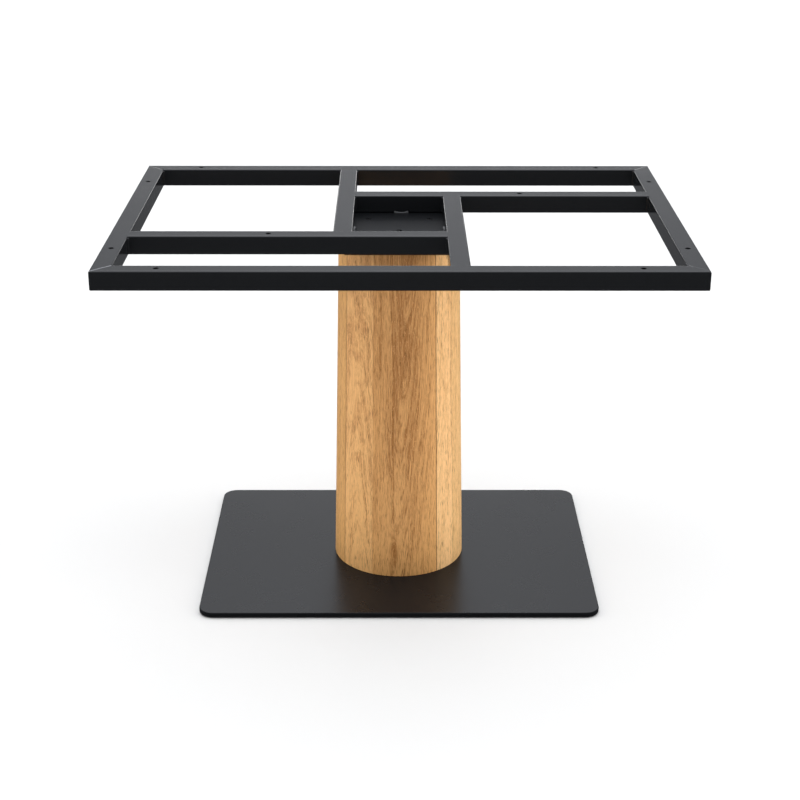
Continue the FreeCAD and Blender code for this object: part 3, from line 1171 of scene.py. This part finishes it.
@dataclass
class SteelWork:
    """The solids of steel and plastic that stay as they are, with their finishes."""

    coated: tuple[str, ...] = (
        "column_head_plate",
        *(f"{side}_rail" for side in ("front", "right", "back", "left")),
        *(f"{place}_bar" for place in ("front_left", "left_cross", "back_right", "right_cross")),
    )
    floor_plate: tuple[str, ...] = ("base_plate",)
    well_plate: tuple[str, ...] = ("frame_mounting_plate",)
    plated: tuple[str, ...] = ("tie_rod_nut", "tie_rod_sleeve")
    glides: tuple[str, ...] = tuple(
        f"glide_{corner}" for corner in ("front_left", "front_right", "back_left", "back_right")
    )

    def build(self, coat: bpy.types.Material, zinc: bpy.types.Material) -> None:
        """Dresses each group of solids.

        Args:
            coat: the frame's powder coat.
            zinc: the finish of the plated fixings.
        """
        for nodes, material in (
            (self.coated, coat),
            (self.floor_plate, PLATE_COAT.material()),
            # The well's plate gets the painted shade
            (self.well_plate, WELL_SHADE_COAT.material()),
            (self.plated, zinc),
            (self.glides, MouldedGlide().material()),
        ):
            for name in nodes:
                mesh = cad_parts[name].data
                mesh.materials.clear()
                mesh.materials.append(material)
                log.info("%s is dressed in %s", name, material.name)


@dataclass(frozen=True)
class Stretch:
    """A stretch of a turned fixing, from its lower end up: plain, or threaded if it has a pitch."""

    rise: float
    radius: float
    pitch: float = 0.0
    thread_depth: float = 0.0


@dataclass
class TurnedFixing:
    """A bolt, screw or rod, drawn up ring by ring from a disc, with a hexagon socket if it has a width.

    For a thread the ring is set off the axis and turned as it is drawn up, which leaves the thread's round
    crests.
    """

    tip_radius: float
    stretches: tuple[Stretch, ...]
    socket_width: float = 0.0
    socket_depth: float = 0.0
    sides: int = 20
    steps_per_turn: int = 10

    def length(self) -> float:
        """The fixing's whole length in millimetres."""
        return sum(stretch.rise for stretch in self.stretches)

    def raise_ring(self, rise: float, growth: float = 1.0, shift: float = 0.0) -> None:
        """Draws the ring on top up, then widens it about the axis and shifts it along X.

        Args:
            rise: how far up, in millimetres.
            growth: how much wider it gets.
            shift: how far it moves, in millimetres.
        """
        bpy.ops.mesh.extrude_region_move(TRANSFORM_OT_translate={"value": (0.0, 0.0, rise * MM)})
        bpy.ops.transform.resize(value=(growth, growth, 1.0), center_override=(0.0, 0.0, 0.0))
        bpy.ops.transform.translate(value=(shift * MM, 0.0, 0.0))

    def draw_thread(self, stretch: Stretch) -> None:
        """Draws a threaded stretch, whose ring ends round the axis again.

        Args:
            stretch: the stretch, as wide as the ring below it.
        """
        turns = int(stretch.rise / stretch.pitch - 0.5)
        run_out = (stretch.rise - turns * stretch.pitch) / 2
        offset = stretch.thread_depth / 2
        narrowing = (stretch.radius - offset) / stretch.radius
        self.raise_ring(run_out, narrowing, offset)
        for _ in range(turns * self.steps_per_turn):
            self.raise_ring(stretch.pitch / self.steps_per_turn)
            bpy.ops.transform.rotate(
                value=-2 * math.pi / self.steps_per_turn, orient_axis="Z", center_override=(0.0, 0.0, 0.0)
            )
        bpy.ops.transform.translate(value=(-offset * MM, 0.0, 0.0))
        self.raise_ring(run_out, 1 / narrowing)

    def build(self, name: str) -> bpy.types.Object:
        """Models the fixing upright, with its lower end at the origin.

        Args:
            name: its name.

        Returns:
            The fixing.
        """
        fixing = new_piece(
            name,
            bpy.ops.mesh.primitive_circle_add,
            vertices=self.sides,
            radius=self.tip_radius * MM,
            fill_type="NGON",
        )
        radius = self.tip_radius
        with editing(fixing):
            for stretch in self.stretches:
                if stretch.pitch:
                    self.draw_thread(stretch)
                else:
                    self.raise_ring(stretch.rise, stretch.radius / radius)
                radius = stretch.radius
            face_out()
        if self.socket_width:
            self.sink_socket(fixing)
        shade(fixing)
        return fixing

    def sink_socket(self, fixing: bpy.types.Object) -> None:
        """Cuts the hexagon socket into the fixing's top.

        Args:
            fixing: the fixing.
        """
        punch = new_piece(
            "socket_punch",
            bpy.ops.mesh.primitive_cylinder_add,
            vertices=6,
            radius=self.socket_width / 2 / math.cos(math.pi / 6) * MM,
            depth=2 * self.socket_depth * MM,
            location=(0.0, 0.0, self.length() * MM),
        )
        pick_alone(fixing)
        socket = fixing.modifiers.new("socket", "BOOLEAN")
        socket.operation = "DIFFERENCE"
        socket.object = punch
        bpy.ops.object.modifier_apply(modifier=socket.name)
        bpy.data.objects.remove(punch)


@dataclass
class Fixings:
    """The bolts in the well, the wood screws into the column's ends and the rod through it."""

    bolt_x: float = 60.0
    bolt_y: float = 80.0
    screw_count: int = 6
    first_screw_angle: float = 10.0
    head_screw_radius: float = 99.75
    base_screw_radius: float = 106.75
    bolt_head: float = 3.0
    bolt_radius: float = 3.0
    bolt_rim: float = 5.8
    screw_radius: float = 2.5
    rod_radius: float = 6.0
    rod_chamfer: float = 1.0

    def place_on_circle(self, radius: float, number: int) -> tuple[float, float]:
        """The place of one of the wood screws.

        Args:
            radius: of the circle of screws, in millimetres.
            number: the screw, from nought.

        Returns:
            Its x and y in millimetres.
        """
        angle = math.radians(self.first_screw_angle + 360.0 / self.screw_count * number)
        return radius * math.sin(angle), -radius * math.cos(angle)

    def build(self, zinc: bpy.types.Material) -> None:
        """Models each kind once and copies it to its places.

        Args:
            zinc: the finish of the screws and the rod.
        """
        self.build_bolts()
        self.build_screws(zinc)
        self.build_rod(zinc)

    def build_bolts(self) -> None:
        """Models the four bolts, whose countersunk heads have a low crown."""
        low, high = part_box("mounting_plate_bolts")
        shank = (high.z - low.z) / MM - self.bolt_head
        chamfer = Stretch(0.5, self.bolt_radius)
        neck = Stretch(0.4, self.bolt_radius)
        thread = shank - chamfer.rise - neck.rise
        kind = TurnedFixing(
            tip_radius=2.5,
            stretches=(
                chamfer,
                Stretch(thread, self.bolt_radius, pitch=1.0, thread_depth=0.6),
                neck,
                # Countersink and rim
                Stretch(2.8, self.bolt_rim),
                Stretch(0.3, self.bolt_rim),
                # Low crown
                Stretch(0.5, 5.3),
                Stretch(0.45, 4.5),
                Stretch(0.3, 3.3),
            ),
            socket_width=4.0,
            socket_depth=2.4,
        )
        bolt = kind.build("plate_bolt")
        oxide = BLACK_OXIDE.material()
        places = [(x, y) for x in (-self.bolt_x, self.bolt_x) for y in (-self.bolt_y, self.bolt_y)]
        for number, (x, y) in enumerate(places, start=1):
            twin = copy_of(bolt, f"plate_bolt_{number}", Matrix.Translation((x * MM, y * MM, low.z)))
            hand_over(twin, oxide, "mounting_plate_bolts")
        bpy.data.objects.remove(bolt)

    def build_screws(self, zinc: bpy.types.Material) -> None:
        """Models the wood screws at both ends of the column.

        Args:
            zinc: their finish.
        """
        kind = TurnedFixing(
            tip_radius=0.3,
            stretches=(
                # Point, thread, shank and countersunk head
                Stretch(6.0, self.screw_radius),
                Stretch(38.0, self.screw_radius, pitch=2.6, thread_depth=1.2),
                Stretch(13.5, self.screw_radius),
                Stretch(2.3, 4.8),
                Stretch(0.2, 4.7),
            ),
            socket_width=4.0,
            socket_depth=2.0,
        )
        screw = kind.build("wood_screw")
        # The screws in the head plate point down, those in the floor plate up
        ends = (
            ("head_plate_screws", "head_screw", self.head_screw_radius, 0, 0.0),
            ("base_plate_screws", "base_screw", self.base_screw_radius, 1, math.pi),
        )
        for node, name, radius, end, angle in ends:
            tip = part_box(node)[end].z
            turn = Matrix.Rotation(angle, 4, "X")
            for number in range(self.screw_count):
                x, y = self.place_on_circle(radius, number)
                place = Matrix.Translation((x * MM, y * MM, tip)) @ turn
                hand_over(copy_of(screw, f"{name}_{number + 1}", place), zinc, node)
        bpy.data.objects.remove(screw)

    def build_rod(self, zinc: bpy.types.Material) -> None:
        """Models the tie rod, threaded at both ends.

        Args:
            zinc: its finish.
        """
        low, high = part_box("tie_rod")
        lower_thread = Stretch(30.0, self.rod_radius, pitch=1.75, thread_depth=1.1)
        upper_thread = Stretch(40.0, self.rod_radius, pitch=1.75, thread_depth=1.1)
        shank = (high.z - low.z) / MM - lower_thread.rise - upper_thread.rise - 2 * self.rod_chamfer
        tip_radius = self.rod_radius - self.rod_chamfer
        kind = TurnedFixing(
            tip_radius=tip_radius,
            stretches=(
                Stretch(self.rod_chamfer, self.rod_radius),
                lower_thread,
                Stretch(shank, self.rod_radius),
                upper_thread,
                Stretch(self.rod_chamfer, tip_radius),
            ),
        )
        rod = kind.build("threaded_tie_rod")
        rod.data.transform(Matrix.Translation((0.0, 0.0, low.z)))
        hand_over(rod, zinc, "tie_rod")


# Studio


@dataclass(frozen=True)
class SkyStep:
    """A change of the surround's brightness between two heights, from -1 straight down to 1 overhead."""

    low: float
    high: float
    change: float


@dataclass
class Studio:
    """A white floor, soft light all round and the camera."""

    lens: float = 73.1
    sight: float = 1000000.0
    eye: tuple[float, float, float] = (-13.28, -2985.07, 1543.68)
    pitch: float = 22.0062
    yaw: float = 0.2962
    roll: float = 0.1108
    floor_size: float = 400000.0
    sky_tint: tuple[float, float, float, float] = (0.96, 0.98, 1.03, 1.0)
    ground: float = 0.27
    ground_behind: float = 0.45
    behind_end: float = 0.5
    sky_steps: tuple[SkyStep, ...] = (
        SkyStep(-0.03, 0.02, 0.08),
        SkyStep(0.235, 0.285, 0.15),
        SkyStep(0.45, 0.51, 1.87),
        SkyStep(0.6, 0.95, 2.4),
    )
    front_end: float = -0.8
    front_share: float = 0.5
    back_end: float = 0.9
    back_share: float = 1.2
    glow_reach: float = 0.35
    glow_share: float = 1.1
    edge_share: float = 0.75
    light_height: float = 8.0
    light_side: float = 80.0
    light_spread: float = 50.0
    left_light: float = 1.6
    right_light: float = 2.32
    panel_width: float = 3480.0
    panel_height: float = 700.0
    panel_foot: float = 720.0
    panel_distance: float = 6000.0
    panel_power: float = 28.0

    def build(self) -> None:
        """Sets up the floor, the surround, the lights and the camera."""
        self.lay_floor()
        self.put_up_surround()
        self.light()
        self.set_camera()

    def lay_floor(self) -> None:
        """Lays the floor."""
        floor = new_piece("studio_floor", bpy.ops.mesh.primitive_plane_add, size=self.floor_size * MM)
        floor.data.materials.append(FloorPaint().material())
        # The black coat mirrors a darker ground than this white floor
        floor.visible_glossy = False
        log.info("%s is laid", floor.name)

    def put_up_surround(self) -> None:
        """Puts up the white surround, brightest overhead and behind, which the black coat mirrors."""
        world = bpy.data.worlds.new("white_surround")
        bpy.context.scene.world = world
        world.use_nodes = True
        world.node_tree.nodes.clear()
        add = partial(add_node, world.node_tree)
        direction = add("TexCoord", output="Generated")
        aside, depth, height = (add("SeparateXYZ", {"Vector": direction}, axis) for axis in "XYZ")
        strength = self.ground
        for step in self.sky_steps:
            change = add(
                "MapRange",
                {"Value": height, "From Min": step.low, "From Max": step.high, "To Max": step.change},
                interpolation_type="SMOOTHSTEP",
            )
            strength = add("Math", {0: strength, 1: change}, operation="ADD")
        from_front = add(
            "MapRange",
            {
                "Value": depth,
                "From Min": self.front_end,
                "From Max": self.back_end,
                "To Min": self.front_share,
                "To Max": self.back_share,
            },
        )
        glow = add(
            "MapRange",
            {
                "Value": add("Math", {0: aside}, operation="ABSOLUTE"),
                "From Max": self.glow_reach,
                "To Min": self.glow_share,
                "To Max": self.edge_share,
            },
        )
        # The inner faces of the side rails mirror the ground behind the object
        horizon = self.sky_steps[0]
        above = add("MapRange", {"Value": height, "From Min": horizon.low, "From Max": horizon.high})
        behind = add(
            "MapRange",
            {"Value": depth, "From Max": self.behind_end, "To Min": 1.0, "To Max": self.ground_behind},
        )
        ground_share = add("Math", {0: behind, 1: above}, operation="MAXIMUM")
        for share in (from_front, glow, ground_share):
            strength = add("Math", {0: strength, 1: share}, operation="MULTIPLY")
        # Past the floor's end, low views see plain white and not the dim low sky that the coat mirrors
        seen = add("LightPath", output="Is Camera Ray")
        strength = add("Math", {0: strength, 1: seen}, operation="MAXIMUM")
        surround = add("Background", {"Color": self.sky_tint, "Strength": strength})
        add("OutputWorld", {"Surface": surround})

    def light(self) -> None:
        """Sets up a wide soft light on each side and the panel, shown without any grading."""
        for name, side, power in (
            ("left_light", -self.light_side, self.left_light),
            ("right_light", self.light_side, self.right_light),
        ):
            bpy.ops.object.light_add(type="SUN")
            lamp = bpy.context.object
            lamp.name = name
            lamp.rotation_euler = (math.radians(90.0 - self.light_height), 0.0, math.radians(side))
            lamp.data.angle = math.radians(self.light_spread)
            lamp.data.energy = power
            # A soft box that the low side views don't find mirrored in the frame's top
            lamp.visible_glossy = False
        self.hang_panel()
        view = bpy.context.scene.view_settings
        view.view_transform = "Standard"
        view.look = "None"

    def hang_panel(self) -> None:
        """Hangs a bright panel behind the object, out of sight, to light the tubes' arrises."""
        bpy.ops.object.light_add(type="AREA")
        lamp = bpy.context.object
        lamp.name = "back_panel"
        lamp.data.shape = "RECTANGLE"
        lamp.data.size = self.panel_width * MM
        lamp.data.size_y = self.panel_height * MM
        lamp.data.energy = self.panel_power
        lamp.location = Vector((0.0, self.panel_distance, self.panel_foot + self.panel_height / 2)) * MM
        lamp.rotation_euler = (-math.pi / 2, 0.0, 0.0)
        lamp.visible_camera = False

    def set_camera(self) -> None:
        """Puts the camera where the photograph was taken from."""
        bpy.ops.object.camera_add()
        camera = bpy.context.object
        camera.name = "photo_camera"
        camera.data.lens = self.lens
        camera.data.clip_end = self.sight * MM
        camera.matrix_world = (
            Matrix.Translation(Vector(self.eye) * MM)
            @ Matrix.Rotation(-math.radians(self.yaw), 4, "Z")
            @ Matrix.Rotation(math.radians(90.0 - self.pitch), 4, "X")
            @ Matrix.Rotation(math.radians(self.roll), 4, "Z")
        )
        bpy.context.scene.camera = camera


def main() -> None:
    """Builds the pieces in order, then the studio."""
    logging.basicConfig(level=logging.INFO, format="%(name)s: %(message)s")
    coat = FRAME_COAT.material()
    zinc = ZINC.material()
    SteelWork().build(coat, zinc)
    OakColumn().build()
    FrameWelds().build(coat)
    Fixings().build(zinc)
    Studio().build()


if __name__ == "__main__":
    main()
